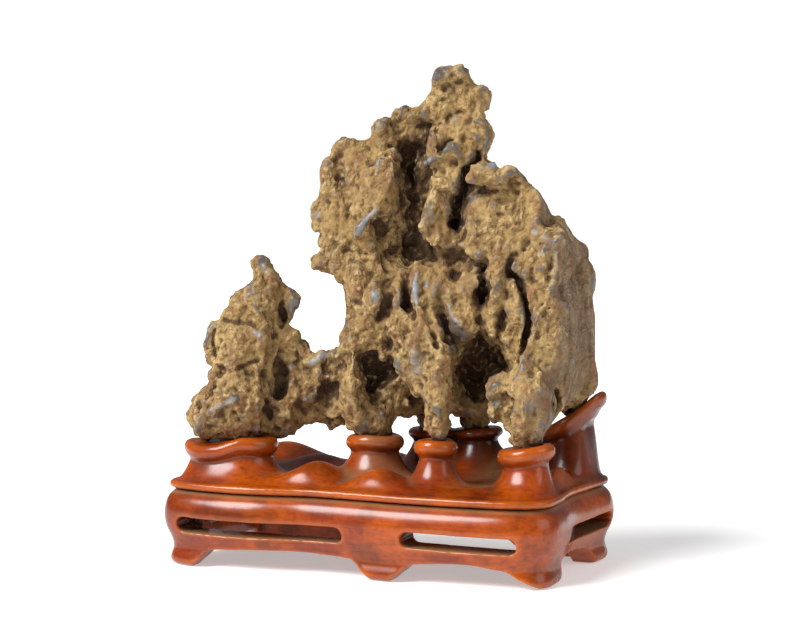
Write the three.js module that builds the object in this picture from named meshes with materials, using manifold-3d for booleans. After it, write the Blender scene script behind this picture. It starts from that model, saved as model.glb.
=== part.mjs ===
// A scholar's rock on its carved hardwood stand, in millimetres.
// The frame: +Z up, the long front of the stand faces -Y, and the origin is on the ground under the
// middle of the object's box.
// Three pieces: the stone, the carved top that holds it by its feet, and the hollow base under the top.
import * as THREE from "three";
import { LoftGeometry } from "three/addons/geometries/LoftGeometry.js";
import { ImprovedNoise } from "three/addons/math/ImprovedNoise.js";
import { mergeVertices } from "three/addons/utils/BufferGeometryUtils.js";
import Module from "manifold-3d";

// ---- driving dimensions -------------------------------------------------------------------------
const gap = 0.5; // how far a socket is cut wider than the stone that sits in it
const seatHeight = 43.6; // top of the base, where the carved top is glued on
const seam = 0.4; // the glue line between the base and the top
const bedHeight = 51; // ground of the carved top, inside its lip
const archHeight = 11; // clear height under the base, between its feet
const slotHeight = 24.5; // middle of the long slots
const slotTall = 8.6;

// Where the lip runs, seen from above: a box with a wavy front and full corners.
const lipPlan = [
  [-112, -63], [-86, -70], [-58, -71], [-28, -66], [2, -67.5], [34, -71], [66, -71], [96, -68],
  [111, -58], [113, -38], [111, -10], [114, 20], [116, 44], [107, 55], [72, 58], [30, 55],
  [-14, 57], [-58, 55], [-98, 57], [-114, 47], [-113, 16], [-116, -16], [-118, -46],
];
const hollowPlan = [
  [-96, -50], [-2, -50], [90, -50], [95, -45], [95, -5], [95, 33], [90, 38], [-2, 38],
  [-96, 38], [-101, 33], [-101, -6], [-101, -45],
];

// How far each stretch of the outside stands proud of the lip's line, and how high it is.
const baseProfile = [
  [-6, 0], [-2, 1.2], [2.2, 4.8], [-1, 8], [-2.6, 11], [-0.5, 15.5], [3, 22], [4, 29], [3, 36],
  [-3, seatHeight],
];
const hollowProfile = [[5, -1], [1, 14], [0, seatHeight + 1]];
const lipProfile = [
  [-4, seatHeight + seam], [-1, 44.6], [0.8, 46.2], [0.6, 47.8], [-1.4, 48.8], [-7, 49.8],
  [-14, bedHeight],
];

// ---- solids -------------------------------------------------------------------------------------
const wasm = await Module();
wasm.setup();
const noise = new ImprovedNoise();

function toSolid(geometry) {
  const bare = new THREE.BufferGeometry();
  bare.setAttribute("position", geometry.attributes.position);
  bare.setIndex(geometry.index);
  const merged = mergeVertices(bare, 1e-4);
  const vertProperties = new Float32Array(merged.attributes.position.array);
  const triVerts = new Uint32Array(merged.index.array);
  return new wasm.Manifold(new wasm.Mesh({ numProp: 3, vertProperties, triVerts }));
}

function toGeometry(solid) {
  const { vertProperties, triVerts } = solid.getMesh();
  const geometry = new THREE.BufferGeometry();
  geometry.setAttribute("position", new THREE.BufferAttribute(vertProperties, 3));
  geometry.setIndex(new THREE.BufferAttribute(triVerts, 1));
  return geometry;
}

function joined(solids) {
  return solids.reduce((whole, solid) => whole.add(solid));
}

function placed(geometry, { at = [0, 0, 0], tilt = [0, 0, 0] }) {
  const turn = new THREE.Euler(...tilt.map(THREE.MathUtils.degToRad));
  const matrix = new THREE.Matrix4().makeRotationFromEuler(turn).setPosition(...at);
  return geometry.applyMatrix4(matrix);
}

function closedLine(points) {
  return new THREE.CatmullRomCurve3(points.map(([x, y]) => new THREE.Vector3(x, y, 0)), true);
}

// A solid with flat ends, built of level rings that follow a line at the distances and heights of a
// profile. `rise` adds height where a rim isn't level.
function ringed(line, profile, stations, rise = () => 0) {
  const rings = profile.map(([out, height]) => {
    const ring = [];
    for (let k = 0; k < stations; k += 1) {
      const at = line.getPoint(k / stations);
      const along = line.getTangent(k / stations);
      const x = at.x + out * along.y;
      const y = at.y - out * along.x;
      ring.push(new THREE.Vector3(x, y, height + rise(x, y, height)));
    }
    return ring;
  });
  return toSolid(new LoftGeometry(rings, { capStart: true, capEnd: true }));
}

// One weathered mass: a rounded block with an uneven skin. `block` runs from 2, a ball, to 6, nearly
// a box. `grow` makes a bigger copy with the same skin, for the socket that holds it.
function boulder({ at, half, tilt, block = 2.6, rough = 0.22, grow = 0 }) {
  const geometry = new THREE.IcosahedronGeometry(1, 1);
  const position = geometry.attributes.position;
  const v = new THREE.Vector3();
  for (let i = 0; i < position.count; i += 1) {
    v.fromBufferAttribute(position, i).normalize();
    const reach = Math.abs(v.x) ** block + Math.abs(v.y) ** block + Math.abs(v.z) ** block;
    const skin = 1 + rough * noise.noise(1.7 * v.x + at[0], 1.7 * v.y + at[1], 1.7 * v.z + at[2]);
    v.multiplyScalar(skin * reach ** (-1 / block));
    position.setXYZ(i, v.x * (half[0] + grow), v.y * (half[1] + grow), v.z * (half[2] + grow));
  }
  return toSolid(placed(geometry, { at, tilt }));
}

// ---- the stone ----------------------------------------------------------------------------------
// The masses that reach down into the sockets.
const feet = [
  { at: [-88, -34, 92], half: [25, 22, 22], tilt: [0, 16, 0] },
  { at: [-100, -38, 84], half: [14, 17, 14] },
  { at: [-14, -26, 102], half: [8, 8, 28], block: 3.5 },
  { at: [-6, -19, 83], half: [12, 11, 11] },
  { at: [40, -37, 94], half: [8, 9, 22] },
  { at: [92, -30, 95], half: [15, 17, 27], tilt: [0, 8, 0], block: 2.2 },
  { at: [13, 28, 96], half: [12, 11, 22] },
  { at: [40, 32, 100], half: [14, 12, 22] },
  { at: [98, 30, 112], half: [13, 14, 30], tilt: [0, -12, 0] },
];

const lowPeak = [
  { at: [-86, -35, 122], half: [17, 18, 17] },
  { at: [-71, -26, 118], half: [16, 20, 28] },
  { at: [-75, -27, 145], half: [13, 15, 21], tilt: [0, 24, 0] },
  { at: [-71, -27, 164], half: [6, 7, 13], tilt: [0, -14, 0] },
  { at: [-60, -23, 150], half: [8, 9, 9] },
  { at: [-63, -18, 96], half: [17, 21, 21] },
];

const bridge = [
  { at: [-46, -12, 102], half: [17, 16, 15] },
  { at: [-31, -9, 100], half: [16, 15, 19] },
];

const middle = [
  { at: [-12, 0, 104], half: [17, 22, 22] },
  { at: [-8, -4, 146], half: [17, 24, 38], block: 3 },
  { at: [20, -6, 138], half: [26, 22, 38], block: 3 },
  { at: [46, 2, 138], half: [26, 26, 44], block: 3 },
  { at: [33, -25, 124], half: [11, 12, 26], tilt: [-6, 0, 0] },
  { at: [32, 16, 104], half: [30, 22, 20] },
  { at: [18, 22, 150], half: [32, 20, 46] },
];

const upperWing = [
  { at: [-27, -9, 208], half: [17, 18, 32], tilt: [0, 14, 0], block: 3 },
  { at: [-6, -6, 206], half: [15, 22, 30], tilt: [0, 8, 0], block: 3 },
  { at: [-9, -2, 238], half: [10, 12, 16], tilt: [0, 8, 0] },
  { at: [-29, -8, 176], half: [15, 14, 11], tilt: [0, 25, 0] },
  { at: [4, 8, 246], half: [18, 10, 12] },
];

const tower = [
  { at: [36, 2, 279], half: [11, 11, 8] },
  { at: [37, 0, 262], half: [15, 15, 16] },
  { at: [39, 0, 238], half: [18, 18, 22] },
  { at: [44, 2, 204], half: [14, 18, 28] },
  { at: [32, -12, 200], half: [8, 12, 24] },
  { at: [14, 14, 214], half: [20, 13, 38] },
];

const massif = [
  { at: [73, -14, 199], half: [20, 19, 26], tilt: [0, 20, 0], block: 3 },
  { at: [85, 4, 166], half: [21, 30, 34], tilt: [0, 16, 0], block: 3.2 },
  { at: [95, 8, 134], half: [18, 34, 37], block: 4 },
  { at: [102, 20, 164], half: [9, 16, 14] },
  { at: [66, 12, 178], half: [22, 22, 42] },
  { at: [68, 14, 128], half: [24, 26, 36] },
];

const stone = joined(
  [...feet, ...lowPeak, ...bridge, ...middle, ...upperWing, ...tower, ...massif].map(boulder),
);

// ---- the base -----------------------------------------------------------------------------------
const lipLine = closedLine(lipPlan);
const lipStations = 36;

// Where each wall stands, and the half turn that takes a flat cutter's own X to run along it.
const walls = {
  front: { turn: 0, at: [0, -46, 0] },
  back: { turn: 0, at: [0, 74, 0] },
  right: { turn: 90, at: [88, 0, 0] },
  left: { turn: 90, at: [-135, 0, 0] },
};
const cutDepth = 40;

// Cut a flat outline, drawn with X along a wall and Y up, right through that wall.
function throughWall(shape, side) {
  const options = { depth: cutDepth, bevelEnabled: false, curveSegments: 3 };
  const cutter = new THREE.ExtrudeGeometry(shape, options);
  cutter.rotateX(Math.PI / 2);
  cutter.rotateZ(THREE.MathUtils.degToRad(walls[side].turn));
  cutter.translate(...walls[side].at);
  return toSolid(cutter);
}

// The open arch between two feet. `lean` is how far each foot's side runs out before it meets the wall.
function arch(left, right, lean) {
  const shape = new THREE.Shape();
  shape.moveTo(left, -1);
  shape.quadraticCurveTo(left + 0.3 * lean[0], 0.8 * archHeight, left + lean[0], archHeight - 1);
  shape.quadraticCurveTo((left + right) / 2, archHeight + 3, right - lean[1], archHeight - 1);
  shape.quadraticCurveTo(right - 0.3 * lean[1], 0.8 * archHeight, right, -1);
  return shape;
}

function slot(left, right) {
  const shape = new THREE.Shape();
  const radius = slotTall / 2;
  shape.absarc(right - radius, slotHeight, radius, -Math.PI / 2, Math.PI / 2);
  shape.absarc(left + radius, slotHeight, radius, Math.PI / 2, 1.5 * Math.PI);
  return shape;
}

const openings = [
  throughWall(arch(-107, 10, [14, 11]), "front"),
  throughWall(arch(22, 101, [19, 14]), "front"),
  throughWall(arch(-46, 66, [14, 14]), "back"),
  throughWall(arch(-44, 38, [12, 12]), "right"),
  throughWall(arch(-48, 40, [12, 12]), "left"),
  throughWall(slot(-107, -4), "front"),
  throughWall(slot(32, 98), "front"),
  throughWall(slot(-98, -8), "back"),
  throughWall(slot(14, 96), "back"),
  throughWall(slot(-25, 43), "right"),
  throughWall(slot(-36, 40), "left"),
];

const hollow = ringed(closedLine(hollowPlan), hollowProfile, 2 * hollowPlan.length);
const base = ringed(lipLine, baseProfile, lipStations).subtract(joined([hollow, ...openings]));

// ---- the carved top -----------------------------------------------------------------------------
// One pedestal: a rounded collar over a drawn-in neck that spreads into the ground. `climb` is how
// much its rim rises over its width, towards +X.
function pedestal({ at, half, rim, climb = 0, collar = 7, spread = 8 }) {
  const line = new THREE.EllipseCurve(at[0], at[1], half[0], half[1]);
  const neck = rim - collar;
  const profile = [
    [spread, bedHeight - 3], [0.3 * spread, (2 * bedHeight + neck) / 3], [-1.5, neck - 0.5],
    [1, neck + 0.8], [1.6, rim - 0.45 * collar], [0.4, rim - 1.2], [-2.4, rim],
  ];
  const rise = (x, y, height) => {
    const share = THREE.MathUtils.smoothstep(height, bedHeight, neck);
    return (share * climb * (x - at[0])) / (2 * half[0]);
  };
  return ringed(line, profile, 12, rise);
}

const pedestals = [
  { at: [-86, -40], half: [26, 18], rim: 71, spread: 5 },
  { at: [-4, -20], half: [15, 13], rim: 74.5, collar: 5 },
  { at: [40, -38], half: [12, 11], rim: 73.5 },
  { at: [92.5, -36], half: [14, 13], rim: 71, climb: 5, collar: 8 },
  { at: [101, 34], half: [14, 16], rim: 81, climb: 25, collar: 9, spread: 5 },
  { at: [13, 28], half: [13, 12], rim: 80 },
  { at: [40, 32], half: [14, 12], rim: 82, climb: 4 },
].map(pedestal);

// Low swells between the pedestals, some of them running out to the lip.
const swells = [
  { at: [-26, -48, 50], half: [20, 13, 11] },
  { at: [12, -50, 49], half: [21, 13, 11] },
  { at: [94, -46, 50], half: [14, 14, 12] },
  { at: [104, -22, 50], half: [8, 16, 17] },
  { at: [-80, 38, 47], half: [22, 12, 10] },
  { at: [-50, 4, 47], half: [26, 20, 8] },
  { at: [66, 30, 52], half: [16, 14, 19] },
].map((swell) => boulder({ ...swell, block: 2, rough: 0 }));

// Nothing of the carving stands outside this: the lip's own outline, opening a little higher up.
const envelopeProfile = [[-1.4, 47], [-2, 52], [-1.5, 66], [3, 92], [4, 110]];
const envelope = ringed(lipLine, envelopeProfile, lipPlan.length);
const carving = joined([...pedestals, ...swells]).intersect(envelope);
const sockets = joined(feet.map((mass) => boulder({ ...mass, grow: gap })));
const top = ringed(lipLine, lipProfile, lipStations).add(carving).subtract(sockets);

// ---- the pieces ---------------------------------------------------------------------------------
const stoneLook = new THREE.MeshStandardMaterial({ color: 0x85704f, roughness: 0.9, metalness: 0 });
const woodLook = new THREE.MeshStandardMaterial({ color: 0x7a3a1c, roughness: 0.35, metalness: 0 });
const group = new THREE.Group();
group.name = "scholars_rock";

function addPiece(name, solid, look) {
  const mesh = new THREE.Mesh(toGeometry(solid), look);
  mesh.name = name;
  group.add(mesh);
}

addPiece("stone", stone, stoneLook);
addPiece("stand_top", top, woodLook);
addPiece("stand_base", base, woodLook);

// The origin goes on the ground under the middle of the whole object.
const middleOfBox = new THREE.Box3().setFromObject(group).getCenter(new THREE.Vector3());
group.position.set(-middleOfBox.x, -middleOfBox.y, 0);

export default group;
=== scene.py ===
import math
import random
from functools import partial

import bpy
import numpy as np
from mathutils import Euler, Matrix, Vector, noise
from mathutils.bvhtree import BVHTree
from mathutils.kdtree import KDTree


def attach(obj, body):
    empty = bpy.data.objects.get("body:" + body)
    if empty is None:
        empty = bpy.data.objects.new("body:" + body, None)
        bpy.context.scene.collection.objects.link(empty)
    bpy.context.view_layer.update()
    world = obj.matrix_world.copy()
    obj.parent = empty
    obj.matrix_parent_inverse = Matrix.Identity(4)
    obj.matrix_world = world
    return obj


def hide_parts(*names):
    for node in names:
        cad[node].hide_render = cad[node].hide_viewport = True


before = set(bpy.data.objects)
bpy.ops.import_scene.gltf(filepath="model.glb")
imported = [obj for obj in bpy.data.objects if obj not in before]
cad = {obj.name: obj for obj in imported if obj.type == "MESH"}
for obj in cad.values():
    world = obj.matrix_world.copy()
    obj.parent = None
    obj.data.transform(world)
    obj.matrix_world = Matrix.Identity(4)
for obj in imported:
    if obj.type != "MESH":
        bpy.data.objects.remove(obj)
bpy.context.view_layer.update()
mm = 0.001
noise.seed_set(3)   # so that the weathering comes out the same each time

# The stone is shaped from its show side. Places on it are given in mm as across (to the right),
# up, and away (deeper into the stone), on an upright sheet that stands on the mark below and faces the eye.
showSide = {
    "mark": (1.149, 6.656, 0),   # where the sheet stands on the frame's ground
    "turn": 21.585,              # the eye stands this many degrees round to the right of the long front
    "eyeDistance": 1193,
    "eyeHeight": 217,
    "eyeAcross": 3.26,
    "lookDown": 3.69,
    "lens": 92.565,
}
markAt = Vector(showSide["mark"]) * mm
turnAngle = math.radians(showSide["turn"])
acrossWay = Vector((math.cos(turnAngle), math.sin(turnAngle), 0))
awayWay = Vector((-math.sin(turnAngle), math.cos(turnAngle), 0))
upWay = Vector((0, 0, 1))
eye = markAt + mm * (acrossWay * showSide["eyeAcross"] - awayWay * showSide["eyeDistance"]
                     + upWay * showSide["eyeHeight"])


def sheetPoint(across, up, away=0):
    flat = markAt + mm * (acrossWay * across + upWay * up)
    return eye + (flat - eye) * (1 + away / showSide["eyeDistance"])


def planPoint(x, y, z):   # the stand's own drawing, in mm, with its origin on the same mark
    return markAt + mm * Vector((x, y, z))


# Working habits: selecting, joining, applying.

def selectOnly(*pieces):
    bpy.ops.object.select_all(action="DESELECT")
    for piece in pieces:
        piece.select_set(True)
    bpy.context.view_layer.objects.active = pieces[0]


def applyModifier(piece, kind, **settings):
    selectOnly(piece)
    modifier = piece.modifiers.new(kind.title(), kind)
    for name, value in settings.items():
        setattr(modifier, name, value)
    bpy.ops.object.modifier_apply(modifier=modifier.name)


def joinPieces(pieces, name):
    selectOnly(*pieces)
    bpy.ops.object.join()
    pieces[0].name = name
    return pieces[0]


def remesh(piece, size, smooth=0):
    applyModifier(piece, "REMESH", mode="VOXEL", voxel_size=size * mm, use_smooth_shade=True)
    if smooth:
        applyModifier(piece, "SMOOTH", factor=0.5, iterations=smooth)


def cutAway(piece, cutter, operation="DIFFERENCE"):
    applyModifier(piece, "BOOLEAN", operation=operation, object=cutter, solver="MANIFOLD")
    bpy.data.objects.remove(cutter)


def thinTo(piece, triangles):
    count = sum(len(face.vertices) - 2 for face in piece.data.polygons)
    if count > triangles:
        applyModifier(piece, "DECIMATE", ratio=triangles / count)


def dropCrumbs(piece):   # keeps the one big body and drops the specks that cutting leaves behind
    selectOnly(piece)
    bpy.ops.mesh.separate(type="LOOSE")
    parts = sorted(bpy.context.selected_objects, key=lambda part: (len(part.data.vertices), part.name))
    for part in parts[:-1]:
        bpy.data.objects.remove(part)
    return parts[-1]


def editAll(piece, *steps):   # runs each operator on the whole mesh, in edit mode
    selectOnly(piece)
    bpy.ops.object.mode_set(mode="EDIT")
    for operator, settings in steps:
        bpy.ops.mesh.select_all(action="SELECT")
        operator(**settings)
    bpy.ops.object.mode_set(mode="OBJECT")


def newPiece(name, corners, faces):
    mesh = bpy.data.meshes.new(name)
    mesh.from_pydata(corners, [], faces)
    piece = bpy.data.objects.new(name, mesh)
    bpy.context.scene.collection.objects.link(piece)
    return piece


def copyOfNode(name, newName):
    piece = bpy.data.objects.new(newName, cad[name].data.copy())
    bpy.context.scene.collection.objects.link(piece)
    piece.data.materials.clear()
    editAll(piece, (bpy.ops.mesh.remove_doubles, {"threshold": 0.01 * mm}))
    return piece


def lump(at, half, lean=0, turn=0):
    bpy.ops.mesh.primitive_ico_sphere_add(subdivisions=4, radius=1)
    piece = bpy.context.object
    matrix = Matrix.LocRotScale(at, Euler((0, math.radians(lean), turn)), Vector(half) * mm)
    piece.data.transform(matrix)
    return piece


def sheetLump(across, up, away, half, lean=0):   # half is (across, away, up)
    return lump(sheetPoint(across, up, away), half, lean, turnAngle)


# A prism between an outline's near corners and its far ones.
def prism(name, near, far, *firstSteps):
    count = len(near)
    faces = [tuple(range(count)), tuple(reversed(range(count, 2 * count)))]
    faces += [(k, k + count, (k + 1) % count + count, (k + 1) % count) for k in range(count)]
    piece = newPiece(name, near + far, faces)
    editAll(piece, *firstSteps, (bpy.ops.mesh.normals_make_consistent, {"inside": False}))
    return piece


# Reading and moving a mesh's points all at once.

def pointsOf(piece):
    points = np.empty(len(piece.data.vertices) * 3, np.float32)
    piece.data.vertices.foreach_get("co", points)
    return points.reshape(-1, 3).astype(np.float64)


def movePoints(piece, points):
    piece.data.vertices.foreach_set("co", points.astype(np.float32).ravel())
    piece.data.update()


def normalsOf(piece):
    normals = np.empty(len(piece.data.vertices) * 3, np.float32)
    piece.data.vertex_normals.foreach_get("vector", normals)
    return normals.reshape(-1, 3).astype(np.float64)


def evenOut(piece, values, rounds):   # averages a value with its neighbours' along the mesh's edges
    ends = np.empty(len(piece.data.edges) * 2, np.int32)
    piece.data.edges.foreach_get("vertices", ends)
    first, second = ends.reshape(-1, 2).T
    count = len(values)
    degree = np.maximum(np.bincount(first, minlength=count) + np.bincount(second, minlength=count), 1)
    columns = [column.copy() for column in np.atleast_2d(values.T)]
    for step in range(rounds):
        for k, column in enumerate(columns):
            around = (np.bincount(first, column[second], count)
                      + np.bincount(second, column[first], count)) / degree
            columns[k] = 0.4 * column + 0.6 * around
    return np.stack(columns, 1) if values.ndim == 2 else columns[0]


def saveValue(piece, name, values):
    layer = piece.data.attributes.get(name) or piece.data.attributes.new(name, "FLOAT", "POINT")
    layer.data.foreach_set("value", values.astype(np.float32))


def rising(values, start, span):   # 0 up to the start and 1 from the end of the span on
    return np.clip((values - start) / span, 0, 1)


def eased(t):   # from 0 to 1, starting and ending gently
    return t * t * (3 - 2 * t)


# How deep a stroke cuts or stands, from its middle line (0) to its edge (1).
strokeShape = {
    "round": lambda t: (1 - t * t) ** 2,
    "sharp": lambda t: (1 - t) ** 1.4,
    "steep": lambda t: 1 - eased(np.clip((t - 0.45) / 0.55, 0, 1)),
}


def fromEye(tree, across, up):
    return tree.ray_cast(eye, (sheetPoint(across, up) - eye).normalized())


def squareOn(outward, aside, stretch):   # the same from another side, by rays that come in level
    def cast(tree, along, up):
        aim = markAt + mm * (aside * along * stretch + upWay * up)
        return tree.ray_cast(aim + outward, -outward)
    return cast


fromBehind = squareOn(awayWay, -acrossWay, 1.0)
fromRight = squareOn(acrossWay, awayWay, 0.5)   # the stone is half as deep as it is wide
fromLeft = squareOn(-acrossWay, awayWay, 0.5)


def alongStroke(points, step=1.2):   # even steps along a listed line
    line = [np.array(point, float) for point in points]
    if len(line) == 1:
        return line
    out = []
    for start, end in zip(line, line[1:]):
        count = max(1, int(np.linalg.norm(end - start) / step))
        out += [start + (end - start) * k / count for k in range(count)]
    return out + [line[-1]]


# Each stroke: its points on the sheet, its radius, its height (below 0 it cuts), its shape and, if the
# crest has been rubbed to a polish, how much.
def workSurface(piece, strokes, cast=fromEye, polish=None):
    points = pointsOf(piece)
    start = points.copy()
    flow = evenOut(piece, normalsOf(piece), 4)
    flow /= np.linalg.norm(flow, axis=1)[:, None] + 1e-9
    tree = BVHTree.FromObject(piece, bpy.context.evaluated_depsgraph_get())
    shift = np.zeros(len(points))
    for stroke in strokes:
        line, radius, height, shape = stroke[:4]
        found = [cast(tree, across, up)[0] for across, up in alongStroke(line)]
        hits = np.array([list(hit) for hit in found if hit is not None])
        if not len(hits):
            continue
        reach = radius * mm
        near = np.where(np.all((start > hits.min(0) - reach) & (start < hits.max(0) + reach), axis=1))[0]
        if not len(near):
            continue
        apart = np.linalg.norm(start[near][:, None, :] - hits[None, :, :], axis=2)
        closest = apart.argmin(1)
        t = apart.min(1) / reach
        inside = t < 1
        near, t, closest = near[inside], t[inside], closest[inside]
        ends = np.ones(len(near))
        if len(hits) > 3:   # a stroke fades towards both its ends
            share = closest / (len(hits) - 1)
            ends = np.clip(np.minimum(share, 1 - share) * 5 + 0.35, 0, 1)
        weight = strokeShape[shape](t) * ends
        shift[near] += height * mm * weight
        if polish is not None and len(stroke) > 4:
            polish[near] = np.maximum(polish[near], stroke[4] * np.clip(1.5 * weight, 0, 1))
    movePoints(piece, points + flow * shift[:, None])


# Materials.

def toLinear(hexColour):
    values = [int(hexColour[k:k + 2], 16) / 255 for k in (1, 3, 5)]
    return tuple(v / 12.92 if v <= 0.04045 else ((v + 0.055) / 1.055) ** 2.4 for v in values) + (1,)


# Adds a shader node. Its inputs come in order or by name: a socket is linked, and a hex colour or a
# number is set. What is left over are the node's own settings.
def addNode(tree, kind, *inputs, named=None, output=0, **settings):
    made = tree.nodes.new("ShaderNode" + kind)
    for name, value in settings.items():
        setattr(made, name, value)
    for name, value in [*enumerate(inputs), *(named or {}).items()]:
        if isinstance(value, bpy.types.NodeSocket):
            tree.links.new(value, made.inputs[name])
        elif isinstance(value, str):
            made.inputs[name].default_value = toLinear(value)
        else:
            made.inputs[name].default_value = value
    return made.outputs[output] if made.outputs else made


def newMaterial(name):
    material = bpy.data.materials.new(name)
    material.use_nodes = True
    material.node_tree.nodes.clear()
    add = partial(addNode, material.node_tree)
    shader = add("BsdfPrincipled").node
    add("OutputMaterial", shader.outputs[0])
    return material, add, shader


def finishShader(material, shader, linked, fixed):
    for name, socket in linked.items():
        material.node_tree.links.new(socket, shader.inputs[name])
    for name, value in fixed.items():
        shader.inputs[name].default_value = value
    return material


# Limestone that has lain in clay soil: a dull tan skin of dried clay, with painted shade making it darker and
# browner in its hollows, creases and caves, a painted highlight on its small ridges, and the bare blue-grey
# stone rubbed to a soft polish on the ridges.
limestoneLook = {
    "clayPale": "#b0925d", "clayMid": "#937343", "clayBrown": "#50351d", "clayOlive": "#705831",
    "ridge": "#cfb27f", "caveShade": "#38240f", "rust": "#7d5232", "bareDark": "#5a5047", "barePale": "#92989e",
    "faceDark": "#65513d", "facePale": "#877157", "vein": "#b9ac98",
    "pitSize": 2.4, "relief": 4.0,   # in mm
    "streakStretch": 0.12,           # streaks run down the stone, eight times as long as they are wide
    "noises": {   # size in mm, detail, roughness
        "shades": (22, 4, 0.55), "patches": (5, 5, 0.65), "specks": (2.2, 5, 0.75), "streaks": (5, 4, 0.6),
        "rust": (9, 3, 0.55), "shadeAndSoilMottle": (5, 4, 0.65), "rubbing": (13, 3, 0.55), "scuffs": (2.2, 3, 0.55),
        "broken": (19, 3, 0.55), "lumps": (4.5, 2, 0.5), "grains": (1.7, 2, 0.5), "ridges": (7, 2, 0.5)},
}


def limestoneMaterial():
    look = limestoneLook
    material, add, shader = newMaterial("clay_skinned_limestone")
    place = add("TexCoord", output="Object")
    drawn = add("Mapping", named={"Vector": place, "Scale": (1, 1, look["streakStretch"])})
    marks = {name: add("Attribute", attribute_name=name, output="Fac")
             for name in ("proud", "deep", "closed", "polish", "crease", "rightFace")}
    noises = {}
    for name, (size, detail, rough) in look["noises"].items():
        settings = {"noise_type": "RIDGED_MULTIFRACTAL", "normalize": True} if name == "ridges" else {}
        noises[name] = add("TexNoise", named={"Vector": drawn if name == "streaks" else place,
                                              "Scale": 1000 / size, "Detail": detail, "Roughness": rough},
                           **settings)

    # the clay skin, in pale and olive patches with brown specks
    clay = add("MixRGB", add("MapRange", noises["shades"], 0.38, 0.62), look["clayMid"], look["clayPale"])
    clay = add("MixRGB", add("MapRange", noises["patches"], 0.42, 0.68, 0, 0.75), clay, look["clayOlive"])
    clay = add("MixRGB", add("MapRange", noises["specks"], 0.56, 0.68, 0, 0.45), clay, look["clayBrown"])
    # the smoother right-hand face, with pale veins down it; its darker tone is partly its own greyer colour
    # and partly painted shade on the side that faces away from the key light
    face = add("MixRGB", add("MapRange", noises["streaks"], 0.38, 0.6), look["faceDark"], look["facePale"])
    face = add("MixRGB", add("MapRange", noises["streaks"], 0.64, 0.7, 0, 0.7), face, look["vein"])
    clay = add("MixRGB", add("Math", marks["rightFace"], 0.85, operation="MULTIPLY"), clay, face)
    # a little rust where the stone stands proud
    rusty = add("Math", add("MapRange", noises["rust"], 0.46, 0.6), add("MapRange", marks["proud"], 0, 0.5),
                operation="MULTIPLY")
    clay = add("MixRGB", add("Math", rusty, 0.75, operation="MULTIPLY"), clay, look["rust"])
    # painted shade, with some soil, in the hollows: browner, and nearly black deep in the caves
    paintedShadeAndSoil = add("Math", add("MapRange", marks["deep"], 0.05, 0.75, 0, 0.75),
                 add("MapRange", marks["closed"], 0.2, 0.52, 0, 1.2), operation="ADD")
    paintedShadeAndSoil = add("Math", paintedShadeAndSoil, add("MapRange", noises["shadeAndSoilMottle"], 0.3, 0.6, 0.65, 1.1), operation="MULTIPLY")
    clay = add("MixRGB", add("MapRange", paintedShadeAndSoil, 0.1, 0.75, 0, 0.85), clay, look["clayBrown"])
    clay = add("MixRGB", add("MapRange", paintedShadeAndSoil, 0.6, 1.5, 0, 0.95), clay, look["caveShade"])
    # painted shade in the creases and a painted highlight on the small ridges, more in some places than in
    # others
    broken = add("MapRange", noises["broken"], 0.4, 0.6, 0.4, 1.25)
    crease = add("Math", marks["crease"], broken, operation="MULTIPLY")
    clay = add("MixRGB", add("MapRange", crease, 0.15, 1.3, 0, 0.8), clay, look["clayBrown"])
    clay = add("MixRGB", add("MapRange", crease, -0.2, -1.3, 0, 0.65), clay, look["ridge"])
    # bare stone, rubbed smooth
    rubbed = add("Math", add("MapRange", marks["proud"], 0.45, 1.1),
                 add("MapRange", noises["rubbing"], 0.46, 0.6), operation="MULTIPLY")
    rubbed = add("Math", rubbed, marks["polish"], operation="ADD")
    rubbed = add("Math", rubbed, add("MapRange", noises["scuffs"], 0.25, 0.55, 0.35, 1), operation="MULTIPLY")
    rubbed = add("MapRange", rubbed, 0.15, 0.85)
    bare = add("MixRGB", add("MapRange", marks["polish"], 0.4, 1.0), look["bareDark"], look["barePale"])

    # lumps, pits, grains and small ridges, shallower where the stone is calm
    pits = add("TexVoronoi", named={"Vector": place, "Scale": 1000 / look["pitSize"]})
    pits = add("MapRange", pits, 0, 0.45)
    relief = noises["lumps"]
    for layer, share in ((pits, 0.12), (noises["grains"], 0.4), (noises["ridges"], 0.45)):
        relief = add("Math", relief, add("Math", layer, share, operation="MULTIPLY"), operation="ADD")
    relief = add("Math", relief, add("MapRange", broken, 0.4, 1.25, 0.55, 1.15), operation="MULTIPLY")
    bump = add("Bump", named={"Strength": add("MapRange", rubbed, 0, 1, 1, 0.12),
                              "Distance": look["relief"] * mm, "Height": relief})
    return finishShader(material, shader,
                        {"Base Color": add("MixRGB", rubbed, clay, bare), "Normal": bump,
                         "Roughness": add("MapRange", rubbed, 0, 1, 0.9, 0.36)}, {"IOR": 1.5})


# Rosewood carved by hand, stained, waxed and rubbed: clear red-brown with an orange glow where hands
# have worn it, painted shade darkening the hollows, long grain along the stand, soft gloss, and dust where no
# cloth goes.
hardwoodLook = {
    "deep": "#380f02", "body": "#842f08", "warm": "#a74808", "worn": "#cc680c", "dust": "#8a7152",
    "grainStretch": 1.6 / 70,   # a grain line is 1.6 mm wide and 70 mm long
    "grainHeight": 0.3,         # in mm
    "noises": {   # size in mm, detail, roughness
        "grain": (1.6, 4, 0.6), "clouds": (34, 3, 0.5), "stain": (21, 4, 0.5), "fine": (3, 4, 0.5)},
}


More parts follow.
